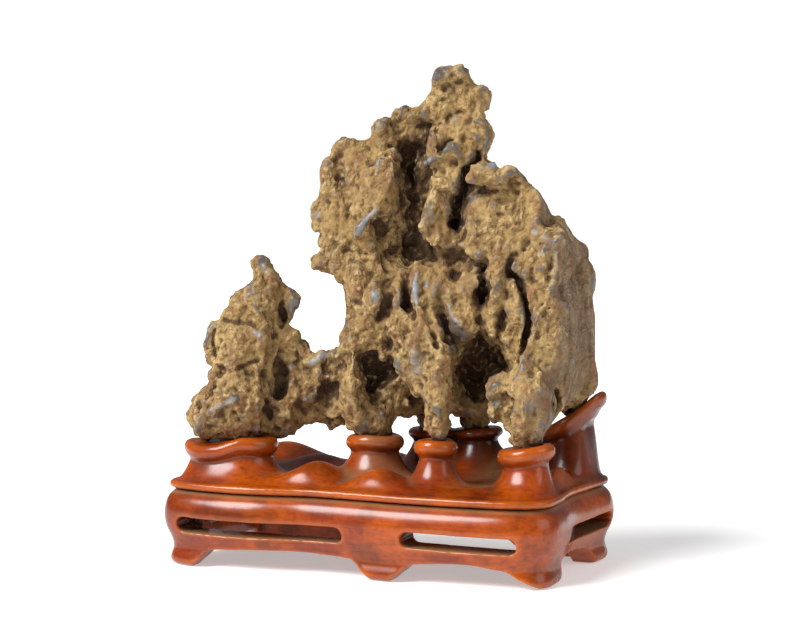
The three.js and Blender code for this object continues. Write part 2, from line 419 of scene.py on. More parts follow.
def hardwoodMaterial():
    look = hardwoodLook
    material, add, shader = newMaterial("waxed_rosewood")
    place = add("TexCoord", output="Object")
    drawn = add("Mapping", named={"Vector": place, "Scale": (look["grainStretch"], 1, 1)})
    marks = {name: add("Attribute", attribute_name=name, output="Fac")
             for name in ("proud", "deep", "closed", "dusty")}
    noises = {}
    for name, (size, detail, rough) in look["noises"].items():
        noises[name] = add("TexNoise", named={"Vector": drawn if name == "grain" else place,
                                              "Scale": 1000 / size, "Detail": detail, "Roughness": rough})
    colour = add("MixRGB", add("MapRange", noises["clouds"], 0.4, 0.6), look["body"], look["warm"])
    # the last two layers are painted shade, in the hollows and where the wood is closed in
    for value, low, high, share, shade in (
            (noises["fine"], 0.45, 0.7, 0.3, "deep"), (noises["grain"], 0.45, 0.75, 0.4, "deep"),
            (noises["stain"], 0.5, 0.66, 0.5, "deep"), (marks["proud"], 0.3, 1.8, 0.7, "worn"),
            (marks["deep"], 0.1, 1.0, 0.85, "deep"), (marks["closed"], 0.3, 0.75, 0.9, "deep")):
        colour = add("MixRGB", add("MapRange", value, low, high, 0, share), colour, look[shade])
    dustShare = add("Math", add("MapRange", noises["fine"], 0.3, 0.7, 0.6, 1.1), marks["dusty"],
                    operation="MULTIPLY", use_clamp=True)
    bump = add("Bump", named={"Strength": 0.12, "Distance": look["grainHeight"] * mm,
                              "Height": noises["grain"]})
    return finishShader(material, shader,
                        {"Base Color": add("MixRGB", dustShare, colour, look["dust"]), "Normal": bump,
                         "Roughness": add("MapRange", dustShare, 0, 1, 0.42, 0.85)},
                        {"IOR": 1.5, "Specular IOR Level": 0.0,   # the wax alone shines
                         "Coat Weight": 0.9, "Coat Roughness": 0.23})


stageLook = {
    "floorSize": 12, "paper": "#f4f4f4", "paperGlow": 0.4, "room": 0.2, "backdrop": 1.05,
    "softBoxes": {   # strength, how wide it looks in degrees, and the way to it: across, up and away
        "softBoxLeft": (4.5, 34, (-1.0, 1.05, -0.66)), "softBoxRight": (0.65, 40, (1.0, 0.6, -0.5))},
}


# Camera, floor and light: a white paper sweep, a big soft box high on the left, a weaker one from the
# right, and a bright room.
def buildStage():
    look = stageLook
    bpy.ops.object.camera_add(location=eye,
                              rotation=(math.radians(90 - showSide["lookDown"]), 0, turnAngle))
    camera = bpy.context.object
    camera.data.lens = showSide["lens"]
    bpy.context.scene.camera = camera
    bpy.ops.mesh.primitive_plane_add(size=look["floorSize"])
    floor = bpy.context.object
    floor.name = "floor"
    material, add, shader = newMaterial("white_paper_sweep")
    finishShader(material, shader, {}, {
        "Base Color": toLinear(look["paper"]), "Roughness": 0.9, "Specular IOR Level": 0.1,
        "Emission Color": (1, 1, 1, 1), "Emission Strength": look["paperGlow"]})
    floor.data.materials.append(material)
    for name, (strength, width, way) in look["softBoxes"].items():
        aim = acrossWay * way[0] + upWay * way[1] + awayWay * way[2]
        bpy.ops.object.light_add(type="SUN", rotation=aim.to_track_quat("Z", "Y").to_euler())
        light = bpy.context.object
        light.name = name
        light.data.energy = strength
        light.data.angle = math.radians(width)
    world = bpy.data.worlds.new("studio")
    bpy.context.scene.world = world
    world.use_nodes = True
    world.node_tree.nodes.clear()
    add = partial(addNode, world.node_tree)
    seen = add("LightPath", output="Is Camera Ray")
    white = (1, 1, 1, 1)
    both = add("MixShader", seen, add("Background", white, look["room"]),
               add("Background", white, look["backdrop"]))
    add("OutputWorld", both)
    bpy.context.scene.view_settings.view_transform = "Standard"


buildStage()
print("stage ready")

# The stone's outline as it stands on its show side, up the left, over the peaks and down the right:
# across and up in mm.
rockOutline = [
    (-123, 77), (-123, 81), (-121, 86), (-119, 90), (-117, 95), (-112, 100), (-109, 103), (-107, 107),
    (-105, 111), (-104, 113), (-107, 116), (-110, 122), (-110.5, 129), (-108, 135), (-104, 139),
    (-101, 139.5), (-102, 142), (-99, 146), (-95, 151), (-90, 156), (-85, 160), (-80, 164), (-80, 170),
    (-80.5, 174), (-79, 176), (-77, 176.5), (-74, 175), (-70, 170), (-67, 165), (-65, 161), (-60, 156),
    (-57, 153), (-57, 149), (-59, 147), (-58.5, 143), (-60, 141), (-61.5, 137), (-61.5, 135), (-58, 132.5),
    (-55, 130.5), (-52, 127), (-49.5, 125), (-49, 123), (-47.5, 120.5), (-44, 121.5), (-39, 122),
    (-35, 121.5), (-33, 123), (-30, 127), (-31, 131), (-31, 133), (-29, 137), (-29, 143), (-28, 148),
    (-28.5, 153), (-28, 156), (-29, 162), (-31, 164), (-36, 165), (-41, 169), (-46, 169), (-48, 173),
    (-47.5, 177), (-44, 179), (-42, 181), (-43.5, 184), (-43, 188), (-40, 191.5), (-45, 193), (-46, 198),
    (-48, 203), (-49.5, 209), (-48.5, 213), (-45, 215), (-44, 220), (-42.5, 224), (-42, 229),
    (-40, 231.5), (-38, 231), (-35.5, 235), (-35, 240), (-32.5, 243), (-28, 245.5), (-24, 245),
    (-20, 243), (-16, 243), (-13.5, 244.5), (-13.5, 249), (-14.5, 252), (-11, 256), (-6, 257), (-4, 257.5),
    (0, 261), (5, 262.5), (10, 263), (15, 262.5), (16, 263), (17, 266), (20, 271), (22, 275), (22.5, 282),
    (25, 284), (30, 285.5), (35, 286), (38, 287), (41, 286.5), (43, 284), (43, 281), (44, 278.5),
    (48, 275.5), (51, 275), (54, 272), (55.5, 268), (55, 263), (52, 260.5), (51, 260), (52.5, 256),
    (55, 252), (57.5, 247.5), (56, 246), (56, 242), (53.5, 238), (52.5, 234), (53, 232), (56, 232.3),
    (59, 231), (59.5, 228), (62, 227), (66, 228.5), (70, 228), (74, 224.5), (77, 220.5), (80, 217),
    (83, 214), (87, 208), (91, 201), (93, 200), (96, 200), (99, 197), (101, 194), (103, 190), (106, 187),
    (110, 185), (112.5, 182), (113, 178), (112.5, 175), (115, 172), (117, 167), (117, 162), (116, 157),
    (115, 155), (115, 150), (116, 145), (116.5, 135), (117, 125), (118, 115), (119, 107), (118.5, 101),
    (117, 98.5), (113, 94.5), (108, 91), (103, 88), (101, 86.5), (100, 86), (97, 85), (94, 80), (92, 77),
    (88, 75), (86, 68), (82, 64), (68, 62), (67, 70), (66, 74), (61, 79), (57.5, 81), (55, 80),
    (45, 74), (36, 70), (31, 66),
    (19, 65), (17, 75), (17, 80), (15, 80.5), (12, 81), (9, 82), (5, 83.5), (1, 84.5), (-2, 82), (-3, 76),
    (-4, 68), (-19, 68), (-22, 73), (-26, 74.5), (-29, 76), (-32, 78), (-35, 80), (-36, 77), (-39, 76),
    (-42, 77), (-43, 79), (-48, 79.5), (-53, 79), (-52, 76), (-56, 73.5), (-60, 71), (-64, 70),
    (-67, 72), (-71, 72), (-75, 67), (-80, 66), (-118, 62)]

rockShape = {
    "masses": [   # across, up, away, half sizes (across, away, up), lean
        (-27, 236, 2, (9, 10, 10), 0),        # the wing's top left knob
        (-40, 226, 2, (5, 7, 8), 0),
        (-42, 205, 2, (5, 9, 11), 8),
        (-9, 248, 2, (6, 7, 9), 0),
        (-44, 173, 0, (4, 5, 5), 0),
        (-36, 180, 0, (8, 8, 9), 30),
        (6, 255, 3, (13, 7, 6.5), -3),        # the curtain from the wing to the tower
        (33, 280, -11, (11, 9, 5), -6),       # the tower's flat cap
        (25, 266, -10, (7, 8, 10), 12),
        (15, 257, 0, (8, 7, 6), 0),
        (20, 262, -5, (5, 7, 6), 0),
        (52, 231, -30, (5, 9, 5), 0),
        (50, 268, -10, (5.5, 7, 8), 0),       # its smooth round boulder
        (51, 247, -10, (6.5, 8, 12), 0),
        (56, 226, -38, (7, 7, 6), 0),         # the main mass: its top and its front
        (67, 222, -36, (8, 10, 7), 0),
        (78, 203, -30, (10, 16, 16), -28),
        (62, 196, -42, (15, 15, 24), 0),
        (74, 178, -40, (14, 16, 22), 0),
        (94, 188, -20, (10, 14, 13), -25),
        (107, 176, -18, (6, 10, 8), 0),
        (111, 165, -18, (5, 10, 9), 0),
        (112, 120, -18, (5, 14, 26), 0),
        (-90, 147, 0, (9, 8, 11), 38),        # the low peak's long left slope
        (-69, 162, 2, (4, 5, 10), -24),
        (-60, 128, 4, (8, 8, 12), -35),
        (-40, 116, 4, (11, 9, 6), -8),        # the bridge
        (-47, 86, 6, (10, 9, 7), 0),
        (-33, 83, 4, (7, 8, 6), 0),
        (-38, 78, 6, (3, 4, 4), 0),
        (-65, 77, 4, (11, 10, 7), 0),
        (5, 92, -4, (11, 12, 9.5), 0),        # over the small arch of the middle
        (22.4, 82, 21, (9, 8, 13), 0),        # the two rear feet
        (49, 82, 15, (10, 8.5, 13), 0),
        (80, 105, -50, (14, 13, 18), 0),      # the right foot runs up into the main mass
        (88, 90, -50, (11, 12, 14), 35),
    ],
    "caves": [   # the same, cut out
        (10, 237, -12, (6.5, 22, 10), 10),    # the deep cleft beside the tower
        (10, 224, -12, (4, 26, 10), -12),
        (12, 208, -14, (5, 24, 4.5), 0),
        (15, 195, -20, (2.6, 18, 13), 8),
        (-4, 193, -30, (11, 17, 11), -28),    # under the wing's sharp rim
        (-11, 187, -30, (10, 16, 7), -30),
        (6, 187, -26, (6, 18, 9), 0),
        (35, 198, -32, (4.6, 26, 9), 0),      # between the tower and the main mass
        (38, 211, -32, (4.4, 24, 9), 25),
        (43, 223, -30, (4.5, 20, 9), 15),
        (48, 236, -26, (2.6, 20, 8), 0),
        (21, 254, -14, (1.6, 40, 1.6), 0),
        (36, 165, -44, (5.4, 24, 7.6), 8),    # the round hole
        (-8, 108, -26, (10, 26, 8), -35),     # the cave beside the long rib
        (-2, 113, -24, (4, 22, 7), -20),
        (-15, 112, -26, (5, 14, 8), 0),
        (48, 103, -44, (14.5, 46, 27), 0),    # the big alcove
        (55, 118, -44, (10, 44, 16), -20),
        (62, 113, -44, (6, 40, 10), -30),
        (-52, 103, -16, (6.5, 9, 6), 0),      # the ring hollow on the bridge
        (-93, 77, -34, (9, 12, 4.5), -12),
        (-51, 191, 0, (5, 24, 8), 0),
        (-110, 103, -6, (4, 24, 7), 10),
    ],
    "lateMasses": [   # put back in front of the caves
        (62, 89, -54, (7, 8, 10), 32), (57.5, 97, -56, (4.5, 6, 4), 0), (65, 104, -54, (6, 7, 3.2), -15),
        (60, 94, -52, (5, 8, 7), 0), (107, 90, 2, (11, 13, 9), -30),
        (50, 224, -38, (8.5, 9, 7.5), 0), (61, 223, -37, (6, 8, 5), 0), (55, 230, -34, (4.5, 6, 3.5), 0),
    ],
    # Flat broken faces: three points on the face, then how far it runs each way and how thick a piece
    # has come away in front of it.
    "flats": [
        ((-24, 184, -26), (-4, 214, -26), (9, 186, 0), (17, 17, 14)),      # the wing's shaded side
        ((1, 250, -18), (-2, 214, -24), (7, 230, -6), (20, 9, 10)),
        ((-77, 165, -18), (-79, 100, -20), (-63, 128, 2), (36, 12, 9)),    # right of the low peak's ridge
        ((44, 212, -32), (84, 200, -46), (66, 164, -54), (24, 30, 14)),    # front of the main mass
        ((22, 272, -17), (42, 272, -18), (32, 246, -23), (14, 15, 8)),     # front of the tower
        ((-42, 232, -2), (-46, 190, -2), (-20, 205, -21), (30, 17, 8)),    # the wing's lit side
        ((-104, 126, -8), (-84, 158, -10), (-84, 118, -22), (28, 16, 8)),  # the low peak's lit side
    ],
    "lateFlats": [   # the two sides of the right foot's wedge
        ((74.5, 95, -66), (74.5, 72, -64), (58, 90, -54), (13, 11, 8)),
        ((75.5, 95, -66), (75.5, 72, -64), (97, 90, -44), (13, 14, 8)),
    ],
    # painted shade, with some damp and dirt, where the clay lies in the shade of what stands over it: across,
    # up, reach, share
    "paintedShadeAndSoil": [(-43, 92, 15, 0.25), (-23, 150, 13, 0.25), (30, 84, 14, 0.2), (-78, 92, 9, 0.2)],
    # Wide hollows that the blades and tongues hang over.
    "hollows": [
        ([(-12, 198), (-5, 190), (2, 200)], 9, -5, "round"),
        ([(9, 172), (9, 158), (8, 146)], 8, -5, "round"),
        ([(24, 148), (30, 136), (36, 124)], 12, -8, "round"),
        ([(51, 168), (51, 150), (53, 134)], 8, -7, "round"),
        ([(66, 168), (68, 150), (66, 130)], 9, -5, "round"),
        ([(-15, 119), (-13, 108), (-13, 96)], 6.5, -6, "round"),
        ([(-31, 118), (-30, 102), (-29, 88)], 4, -3.5, "round"),
        ([(-38, 104), (-38, 92)], 9, -4, "round"),
        ([(-66, 118), (-68, 100), (-68, 86)], 8, -4, "round"),
        ([(6, 128), (2, 116)], 7, -5, "round"),
        ([(88, 158), (86, 170)], 10, -3, "round"),
        ([(-8, 168), (-6, 150), (-8, 138)], 9, -4, "round"),
    ],
    # Blades and tongues that stand out of the show side: a line, half its width, and how far it stands out.
    "ribs": [
        ([(-112, 84), (-102, 90), (-93, 95), (-86, 99)], 4, 4.5),
        ([(-58, 97), (-50, 94), (-44, 99), (-42, 107), (-48, 111)], 2, 3.5),
        ([(-51, 113), (-45, 118), (-37, 121)], 3, 3.5),
        ([(-25, 126), (-25, 110), (-24, 96), (-22, 84), (-20, 75)], 3, 7.5),
        ([(-22, 175), (-21, 165), (-20, 157)], 5, 4.5),
        ([(-19, 151), (-17, 142), (-20, 133)], 4.5, 3.5),
        ([(9, 179), (4, 179), (1, 171), (-5, 165)], 1.7, 4),
        ([(13, 171), (12, 160), (12, 152), (15, 144)], 2.8, 7),
        ([(31, 152), (33, 143), (40, 134)], 3.2, 7),
        ([(22, 143), (26, 132), (31, 122), (35, 116)], 2.8, 7),
        ([(15, 138), (12, 126), (11, 115), (14, 105)], 6, 7),
        ([(25, 104), (26, 94), (26, 84), (27, 76)], 5.5, 4.5),
        ([(9, 103), (16, 98), (20, 90)], 2.6, 5),
        ([(22, 130), (27, 118), (27, 106)], 4.5, 6),
        ([(3, 133), (4, 126)], 4, 6),
        ([(24, 161), (23, 150)], 3.4, 6),
        ([(-25, 178), (-21, 168), (-20, 158)], 3.6, 5),
        ([(-29, 150), (-27, 138), (-25, 127)], 3, 4),
        ([(-12, 162), (-10, 154), (-12, 146)], 4.5, 5),
        ([(-2, 176), (-8, 171), (-4, 166)], 2.6, 4),
        ([(36, 180), (45, 181), (52, 177)], 3, 4),
        ([(15, 186), (25, 188), (35, 185), (46, 187)], 4.5, 5),
        ([(29, 173), (27, 165), (30, 156)], 3, 4.5),
        ([(44, 176), (47, 167), (45, 157)], 3.6, 5),
        ([(56, 171), (60, 161), (57, 147), (57, 137), (59, 127)], 5, 7),
        ([(69, 169), (72, 157), (71, 143), (67, 131), (68, 119)], 5, 8.5),
        ([(93, 187), (94, 172), (92, 160), (88, 151)], 3, 5),
        ([(88, 151), (82, 145), (79, 134), (77, 124), (75, 112)], 4, 7),
        ([(76, 96), (75, 84), (72, 73)], 4, 5),
        ([(57, 99), (63, 103)], 4, 5),
        ([(-7, 208), (-15, 200), (-20, 193), (-24, 186), (-23, 180)], 2.6, 6),
        ([(-2, 250), (-1, 238), (-2, 228), (-5, 216), (-9, 206)], 3.6, 4),
        ([(13, 222), (18, 231), (24, 235), (31, 239), (40, 241)], 2.6, 6.5),
        ([(21, 212), (20, 200), (18, 190)], 4, 4.5),
    ],
    # Deep narrow furrows: a line, half its width, and its depth.
    "furrows": [
        ([(66, 178), (68, 168), (74, 160), (78, 150), (79, 140), (76, 128), (72, 113)], 2.4, 15),
        ([(65, 170), (66, 152), (63, 140), (60, 130), (62, 119)], 1.5, 12),
        ([(52, 178), (52, 166), (51, 152), (50, 138)], 2.6, 11),
        ([(8, 173), (6, 160), (8, 149), (12, 141)], 2.4, 9),
        ([(17, 169), (17, 156), (18, 146)], 1.5, 6),
        ([(20, 140), (23, 130), (27, 119)], 1.8, 8),
        ([(29, 141), (34, 131), (38, 124)], 2.6, 9),
        ([(-26, 171), (-25.5, 164)], 1.3, 8),
        ([(-29, 122), (-29, 106), (-28, 88)], 1.3, 8),
        ([(-20, 120), (-19, 106), (-17, 95)], 2.2, 9),
        ([(32, 237), (31, 224)], 1.1, 7),
        ([(28, 249), (32, 243)], 1, 5),
        ([(-107, 99), (-103, 105)], 1, 5),
        ([(-92, 147), (-85, 146)], 1.1, 3.5),
        ([(-72, 128), (-73, 116), (-75, 104), (-76, 92)], 3.5, 5),
        ([(-66, 147), (-64, 138)], 3.6, 6),
        ([(-20, 130), (-10, 131)], 1.2, 5),
        ([(-3, 131), (-2, 121)], 2, 9),
        ([(-75, 91), (-72, 83)], 2.8, 9),
        ([(21, 279.5), (31, 280), (42, 277)], 0.9, 2.5),
        ([(91, 198), (92, 194)], 2, 4),
    ],
    # Softer forms, worked into the surface: a line, its radius, its height (below 0 it's hollow), its
    # shape and, where the crest has been rubbed to a polish, how much.
    "broadStrokes": [
        ([(-77, 172), (-73, 162), (-75, 154), (-79, 146), (-77, 135), (-77, 122), (-80, 108), (-81, 94),
          (-80, 78)], 5, 2.5, "sharp"),
        ([(-60, 152)], 6, 2, "round"),
        ([(-95, 134), (-91, 124), (-95, 117)], 12, 2.5, "round"),
        ([(-97, 84), (-91, 78)], 8, -4, "round"),
        ([(-62, 110), (-58, 114)], 6, 2.5, "round"),
        ([(-38, 104), (-37, 92)], 8, -2.5, "steep"),
        ([(-64, 88), (-63, 82)], 5, 3, "round"),
        ([(-32, 190), (-30, 203), (-27, 214)], 9, -2, "round"),
        ([(-20, 236), (-18, 226), (-17, 216)], 6, 1.8, "round"),
        ([(-32, 232), (-33, 220)], 7, -2, "round"),
        ([(24, 226), (36, 231)], 6, -2.5, "round"),
        ([(27, 262), (34, 266)], 6, 1.5, "round"),
        ([(-10, 154)], 6, 3, "round"),
        ([(-11, 178)], 5, 2.5, "round"),
        ([(-4, 173), (-2, 167)], 5, -3.5, "round"),
        ([(9, 96), (14, 91)], 5, -4, "round"),
        ([(46, 222)], 6, 2, "round"),
        ([(82, 178), (84, 166), (82, 158)], 9, 1.5, "steep"),
        ([(89, 148), (98, 146)], 5, 2.5, "round"),
        ([(98, 198), (96, 188), (96, 176)], 5, 2, "sharp"),
        ([(82, 92), (80, 82)], 7, -2, "round"),
        ([(70, 207), (72, 194)], 6, -2, "round"),
        ([(52, 208), (55, 198)], 7, 1.5, "round"),
    ],
    "fineStrokes": [
        ([(50, 271), (52, 264)], 6, 0.3, "round", 0.4),
        ([(54, 252), (54, 244), (52, 238)], 4.5, 0.3, "round", 0.4),
        ([(84, 211), (88, 203), (90, 198)], 4, 0.3, "round", 0.4),
        ([(-31, 242), (-26, 243)], 4, 0.3, "round", 0.35),
        ([(-79, 173), (-74, 170)], 3.5, 0.3, "round", 0.4),
        ([(-108, 134), (-109, 126)], 4, 0.3, "round", 0.35),
        ([(23, 283), (30, 284), (40, 285)], 2.6, 0.3, "round", 0.4),
        ([(-47, 210), (-46, 200)], 4, 0.3, "round", 0.4),
        ([(-104, 138), (-106, 128), (-104, 117)], 1.8, -1.6, "round"),
        ([(-101, 141), (-92, 139), (-84, 138), (-80, 135)], 2.6, -2, "round"),
        ([(-104, 114), (-96, 110), (-88, 113), (-80, 117)], 2.6, -2, "round"),
        ([(-83, 134), (-77, 130)], 3.2, 1.6, "sharp", 0.9),
        ([(-108, 87), (-99, 91), (-91, 95)], 2.7, 0.9, "round", 0.8),
        ([(-78, 175), (-72, 165)], 2.7, 0.5, "round", 0.7),
        ([(-80, 76)], 4.1, 1, "round", 0.8),
        ([(-60, 113)], 3.5, 1, "round", 0.9),
        ([(-50, 114), (-44, 118), (-38, 121)], 3.2, 0.6, "round", 1),
        ([(-12, 158), (-10, 150)], 4.1, 0.6, "round", 0.85),
        ([(13, 169), (12, 160), (13, 148)], 3.2, 0.5, "sharp", 1),
        ([(19, 163), (19, 158)], 2.4, 1, "round", 1),
        ([(31, 151), (33, 143), (39, 135)], 2.7, 0.5, "sharp", 0.9),
        ([(33, 126), (36, 121)], 4.1, 0.6, "round", 0.7),
        ([(12, 124), (12, 114), (13, 107)], 8.1, 0.4, "round", 0.6),
        ([(-9, 206), (-15, 200), (-20, 193), (-24, 186)], 2.7, 0.5, "sharp", 1),
        ([(17, 230), (23, 235)], 2.7, 0.6, "sharp", 1),
        ([(24, 235), (31, 239), (38, 241)], 2.2, 0.5, "sharp", 0.6),
        ([(21, 254)], 3.2, -2, "round"),
        ([(24, 250)], 2.2, -2.2, "round"),
        ([(35, 256)], 4.1, 1, "round", 0.8),
        ([(-16, 224)], 4.9, 1.2, "round", 0.3),
        ([(-45, 203), (-43, 199)], 5.4, 0.6, "round", 0.8),
        ([(-9, 254)], 5.4, 0.4, "round", 0.6),
        ([(56, 230)], 5.4, 0.6, "round", 0.8),
        ([(45, 220)], 4.1, 0.6, "round", 0.7),
        ([(36, 184), (42, 184)], 2.2, 0.8, "round", 0.8),
        ([(81, 194), (82, 189)], 3, 1, "round", 1),
        ([(86, 190), (89, 186)], 4.6, 0.4, "round", 0.6),
        ([(54, 165)], 3.2, 0.8, "round", 0.8),
        ([(86, 149)], 1.2, -2.5, "round"),
        ([(90, 147)], 1, -2, "round"),
        ([(93, 182), (94, 170), (91, 156)], 2.4, 0.4, "round", 0.6),
        ([(59, 94), (59, 88)], 4.6, 0.3, "round", 0.7),
        ([(78, 93), (80, 86)], 4.9, 0.2, "round", 0.6),
        ([(66, 103), (70, 101)], 1.6, -2.5, "round"),
        ([(-18, 86), (-17, 76)], 3.2, 0.6, "round", 0.6),
        ([(48, 178)], 3.2, 0.5, "round", 0.5),
    ],
    # ridges and furrows on the other sides: how many, the seed, and the side
    "wild": [(90, 11, fromBehind), (40, 23, fromRight), (40, 37, fromLeft)],
    "facets": 2200,        # how many flat faces the broken stone is first brought down to
    "smallFacets": 20000,
    "voxel": 1.0,          # in mm
    "caveReach": 30,       # how far off a wall still closes a spot in, in mm
    "triangles": 195000,
}


def flatCutter(first, second, third, spans):
    corners = [sheetPoint(*point) for point in (first, second, third)]
    along = (corners[1] - corners[0]).normalized()
    out = along.cross(corners[2] - corners[0]).normalized()
    if out.dot(awayWay) > 0:
        out = -out
    aside = out.cross(along)
    middle = sum(corners, Vector()) / 3 + out * spans[2] * mm / 2
    bpy.ops.mesh.primitive_cube_add(size=2)
    cutter = bpy.context.object
    axes = Matrix((along, aside, out)).transposed().to_4x4()
    size = Matrix.Diagonal(Vector((spans[0], spans[1], spans[2] / 2)) * mm).to_4x4()
    cutter.data.transform(Matrix.Translation(middle) @ axes @ size)
    return cutter


# A row of overlapping beads along each line, thinner towards its ends. Ribs are sunk so that they stand
# out by their height; furrows are centred on the surface, so that they cut in by their depth.
def beadRows(name, surface, rows, standOut):
    bpy.ops.mesh.primitive_ico_sphere_add(subdivisions=2, radius=1)
    bead = bpy.context.object
    beadPoints = pointsOf(bead)
    beadFaces = np.array([face.vertices[:] for face in bead.data.polygons])
    bpy.data.objects.remove(bead)
    tree = BVHTree.FromObject(surface, bpy.context.evaluated_depsgraph_get())
    axes = np.array([acrossWay, awayWay, upWay])
    corners, faces = [], []
    for line, halfWidth, amount in rows:
        steps = alongStroke(line, 0.7 * halfWidth)
        for k, (across, up) in enumerate(steps):
            hit = fromEye(tree, across, up)[0]
            if hit is None:
                continue
            taper = 0.45 + 0.55 * math.sin(math.pi * (k + 0.5) / len(steps))
            width = halfWidth * taper
            deep = amount + 4 if standOut else amount * taper
            sink = deep - amount * taper if standOut else 0
            half = np.array([width, deep, 1.5 * halfWidth]) * mm
            middle = np.array(hit + awayWay * sink * mm)
            faces.append(beadFaces + len(beadPoints) * len(corners))
            corners.append(middle + (beadPoints * half) @ axes)
    return newPiece(name, np.concatenate(corners).tolist(), np.concatenate(faces).tolist())


wildLook = {   # in mm
    "across": (-115, 115), "up": (80, 260),    # where a stroke may start
    "links": (1, 4), "sway": (-6, 6), "fall": (5, 12),
    "heights": (3.5, 3, 2.5, -3, -4, -5), "ridgeRadius": (4, 9), "furrowRadius": (2.5, 6),
}


# The rest of the stone has no drawn detail, so ridges and furrows run down it at random, as rain
# and soil leave them, from a fixed seed.
def wildStrokes(count, seed):
    look = wildLook
    draw = random.Random(seed)
    strokes = []
    for k in range(count):
        line = [(draw.uniform(*look["across"]), draw.uniform(*look["up"]))]
        for link in range(draw.randint(*look["links"])):
            across, up = line[-1]
            line.append((across + draw.uniform(*look["sway"]), up - draw.uniform(*look["fall"])))
        height = draw.choice(look["heights"])
        radius = draw.uniform(*look["ridgeRadius" if height > 0 else "furrowRadius"])
        strokes.append((line, radius, height, draw.choice(("round", "sharp"))))
    return strokes


# The right-hand face is smoother and greyer, with streaks that run down it.
def onRightFace(points, normals):
    return rising(normals[:, 0], 0.45, 0.35) * rising(points[:, 0] / mm, 60, 20)


weatherLook = {   # sizes and heights in mm
    "facetSize": (14, 14, 22), "facetSlope": 0.24, "chipSize": (6.5, 6.5, 9), "chipSlope": 0.4,
    "ridgeSize": (9, 9, 20), "ridgeHeight": 1.1, "crackSize": (8, 8, 19), "crackDepth": 1.3,
    "roughSize": 2.6, "roughness": 0.8, "bend": 4, "bendSize": 14, "placeSize": 21,
    "streakSize": (3, 3, 26),
}


def inCells(spot, size):
    return Vector([a / b for a, b in zip(spot, size)])


# How far a broken face stands out here: each cell of stone has its own flat, tilted face.
def brokenFace(spot, size, slope):
    cell = inCells(spot, size)
    gaps, centres = noise.voronoi(cell)
    tilt = Vector(noise.cell_vector(centres[0] * 9.7)) * 2 - Vector((1, 1, 1))
    edge = min(1, (gaps[1] - gaps[0]) / 0.14)
    return (cell - centres[0]).dot(tilt) * edge * slope * size[0]


# Weather has left flat broken facets, sharp-edged ridges, cracks, and pits and grains.
def weather(piece):
    look = weatherLook
    points = pointsOf(piece)
    normals = evenOut(piece, normalsOf(piece), 3)
    normals /= np.linalg.norm(normals, axis=1)[:, None] + 1e-9
    rightFace = onRightFace(points, normals)
    amount = np.empty(len(points))
    for k, point in enumerate(points):
        spot = Vector(point) / mm
        bent = spot + look["bend"] * noise.noise_vector(spot / look["bendSize"])
        facet = brokenFace(0.4 * spot + 0.6 * bent, look["facetSize"], look["facetSlope"])
        chip = brokenFace(0.6 * spot + 0.4 * bent, look["chipSize"], look["chipSlope"])
        ridge = noise.ridged_multi_fractal(inCells(bent, look["ridgeSize"]), 0.9, 2.1, 4, 1.0, 2.0) - 1.2
        crack = 1 - abs(noise.noise(inCells(bent, look["crackSize"]))) * 9
        rough = noise.fractal(spot / look["roughSize"], 0.6, 2.0, 3)
        where = 0.5 + 0.8 * noise.noise(spot / look["placeSize"])
        calm = rightFace[k]
        streaks = noise.fractal(inCells(spot, look["streakSize"]), 1.0, 2.0, 3) if calm else 0
        rugged = (facet + chip + look["ridgeHeight"] * ridge * (0.4 + where) + look["roughness"] * rough
                  - look["crackDepth"] * max(0, crack) * where)
        amount[k] = (1 - 0.8 * calm) * rugged + (0.15 + 0.7 * calm) * streaks
    movePoints(piece, points + normals * amount[:, None] * mm)


# How closed in each spot is, from 0 in the open to 1 deep in a cave. Rays go out from a thinned copy,
# and what they find is handed on to the nearest points of the piece.
def closedIn(piece, reach, faces=16000):
    rough = piece.copy()
    rough.data = piece.data.copy()
    bpy.context.scene.collection.objects.link(rough)
    thinTo(rough, faces)
    spots = pointsOf(rough)
    normals = normalsOf(rough)
    tree = BVHTree.FromObject(rough, bpy.context.evaluated_depsgraph_get())
    count = 64
    turns = np.arange(count) * math.pi * (3 - math.sqrt(5))
    heights = 1 - 2 * (np.arange(count) + 0.5) / count
    wide = np.sqrt(1 - heights ** 2)
    ways = np.stack([wide * np.cos(turns), wide * np.sin(turns), heights], 1)
    facing = normals @ ways.T
    rays = [Vector(way) for way in ways]
    found = np.zeros(len(spots))
    total = np.clip(facing, 0, 1).sum(1)
    for k, spot in enumerate(spots):
        start = Vector(spot + normals[k] * 0.4 * mm)
        for j in np.flatnonzero(facing[k] > 0.1):
            distance = tree.ray_cast(start, rays[j], reach)[3]
            if distance is not None:
                found[k] += facing[k][j] * (1 - 0.6 * distance / reach)
    found = evenOut(rough, found / total, 2)
    finder = KDTree(len(spots))
    for k, spot in enumerate(spots):
        finder.insert(spot, k)
    finder.balance()
    nearest = [finder.find(point)[1] for point in pointsOf(piece)]
    bpy.data.objects.remove(rough)
    return evenOut(piece, found[nearest], 5)


# Fills the stone out to its outline with a row of knobs, wherever it stops short of it.
def fillToOutline(rock, outline, inset=4.2, size=5, lowest=92, behind=5, nearest=-24, furthest=6):
    tree = BVHTree.FromObject(rock, bpy.context.evaluated_depsgraph_get())
    line = np.array(outline, float)
    along = np.roll(line, -1, 0) - np.roll(line, 1, 0)
    along /= np.linalg.norm(along, axis=1)[:, None]
    inward = np.stack([along[:, 1], -along[:, 0]], 1)
    knobs = []
    lastAway = 0
    for (across, up), (inAcross, inUp) in zip(line, inward):
        if up < lowest:
            continue
        for reach in (7, 10, 14):
            ray = (sheetPoint(across + inAcross * reach, up + inUp * reach) - eye).normalized()
            hit = tree.ray_cast(eye, ray)[0]
            if hit is not None:
                lastAway = min(max((hit - markAt).dot(awayWay) / mm + behind, nearest), furthest)
                break
        knobs.append(sheetLump(across + inAcross * inset, up + inUp * inset, lastAway,
                               (size, size + 2, size)))
    return joinPieces([rock] + knobs, "rock")


